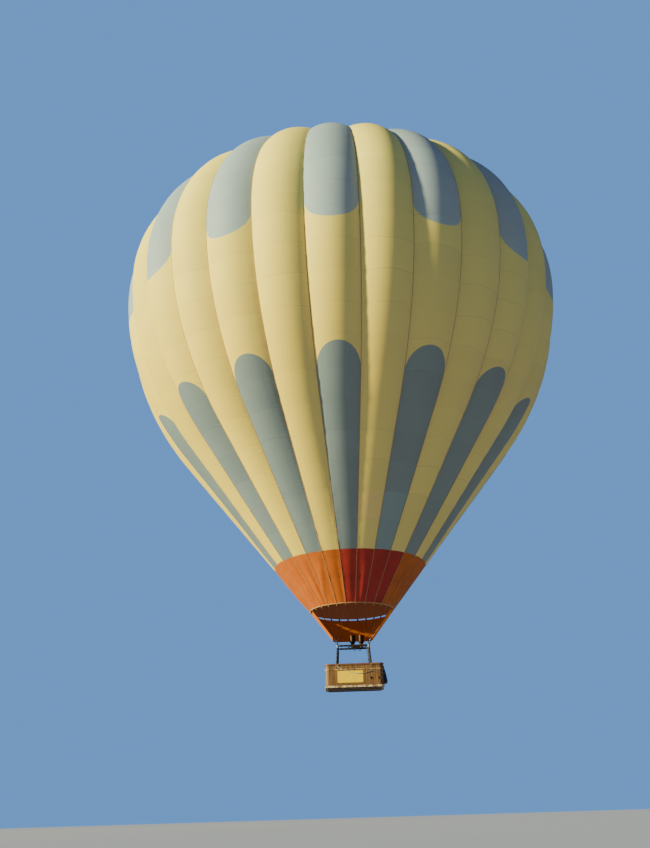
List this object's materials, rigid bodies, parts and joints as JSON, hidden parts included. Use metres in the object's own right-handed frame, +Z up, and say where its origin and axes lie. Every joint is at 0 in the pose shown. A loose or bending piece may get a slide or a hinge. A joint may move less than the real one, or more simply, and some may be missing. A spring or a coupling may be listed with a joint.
{
  "type": "hot air balloon",
  "caption": "Passenger hot air balloon: gored envelope with parachute vent, mouth band, scoop, gimballed twin burner on a padded frame, and a compartmented wicker basket.",
  "frame": {"origin": "on the envelope's axis at the height of its widest circle, where the air holds it up", "axes": "+Z up the envelope's axis, -Y the side to which the scoop opens, +X to the right seen from there"},
  "size_m": [23.0962, 23.0962, 28.4115],
  "materials": {
    "envelope_nylon": "coated ripstop nylon, satin",
    "band_red": "heat-proof aramid cloth, matt",
    "band_orange": "heat-proof aramid cloth, matt",
    "scoop_fabric": "heat-proof aramid cloth, matt",
    "load_tape": "woven polyester webbing",
    "wire_rope": "stranded stainless wire",
    "frame_padding": "dark padded sleeve, satin",
    "frame_steel": "brushed stainless",
    "burner_steel": "heat-tinted stainless",
    "wicker": "woven willow and cane, matt",
    "rim_leather": "padded hide, satin",
    "base_leather": "raw hide, scuffed",
    "plywood": "oiled plywood",
    "cylinder_aluminium": "brushed",
    "banner_vinyl": "coated cloth, satin",
    "bag_fabric": "coated canvas",
    "rope": "braided polyester",
    "hose_rubber": "braided rubber hose"
  },
  "bodies": {
    "root": {"gore_pair_01": "envelope_nylon", "gore_pair_02": "envelope_nylon", "gore_pair_03": "envelope_nylon", "gore_pair_04": "envelope_nylon", "gore_pair_05": "envelope_nylon", "gore_pair_06": "envelope_nylon", "gore_pair_07": "envelope_nylon", "gore_pair_08": "envelope_nylon", "gore_pair_09": "envelope_nylon", "gore_pair_10": "envelope_nylon", "gore_pair_11": "envelope_nylon", "gore_pair_12": "envelope_nylon", "gore_pair_13": "envelope_nylon", "gore_pair_14": "envelope_nylon", "mouth_band_front": "band_red", "mouth_band_right": "band_orange", "mouth_band_back": "band_red", "mouth_band_left": "band_orange", "crown_tapes": "load_tape", "flying_wires_front_right": "wire_rope", "flying_wires_back_right": "wire_rope", "flying_wires_back_left": "wire_rope", "flying_wires_front_left": "wire_rope", "scoop": "scoop_fabric", "load_frame_front": "frame_padding", "load_frame_back": "frame_padding", "load_frame_left": "frame_padding", "load_frame_right": "frame_padding", "frame_corner_front_right": "frame_steel", "frame_corner_back_right": "frame_steel", "frame_corner_back_left": "frame_steel", "frame_corner_front_left": "frame_steel", "upright_front_right": "frame_padding", "upright_back_right": "frame_padding", "upright_back_left": "frame_padding", "upright_front_left": "frame_padding", "gimbal_rail_left": "frame_steel", "gimbal_rail_right": "frame_steel", "basket_wall": "wicker", "basket_rim": "rim_leather", "base_band": "base_leather", "basket_floor": "plywood", "partition_left": "wicker", "partition_right": "wicker", "fuel_cylinder_front_right": "cylinder_aluminium", "fuel_cylinder_back_right": "cylinder_aluminium", "fuel_cylinder_back_left": "cylinder_aluminium", "fuel_cylinder_front_left": "cylinder_aluminium", "banner": "banner_vinyl", "line_bag": "bag_fabric", "handling_line": "rope", "fuel_hose_front": "hose_rubber", "fuel_hose_back": "hose_rubber"},
    "valve": {"parachute_valve": "envelope_nylon"},
    "gimbal": {"gimbal_ring": "frame_steel"},
    "burner": {"burner_base": "burner_steel", "burner_can_left": "burner_steel", "burner_can_right": "burner_steel"}
  },
  "joints": [
    {"name": "vent", "type": "slide", "parent": "root", "child": "valve", "axis": [0, 0, -1], "range_m": [0, 1], "stiffness_N_per_m": 100, "springref_m": -2},
    {"name": "gimbal_pitch", "type": "hinge", "parent": "root", "child": "gimbal", "pos_m": [0.19, 0, -18.46], "axis": [1, 0, 0], "range_deg": [-15, 15]},
    {"name": "gimbal_roll", "type": "hinge", "parent": "gimbal", "child": "burner", "pos_m": [0.19, 0, -18.46], "axis": [0, 1, 0], "range_deg": [-15, 15]}
  ]
}
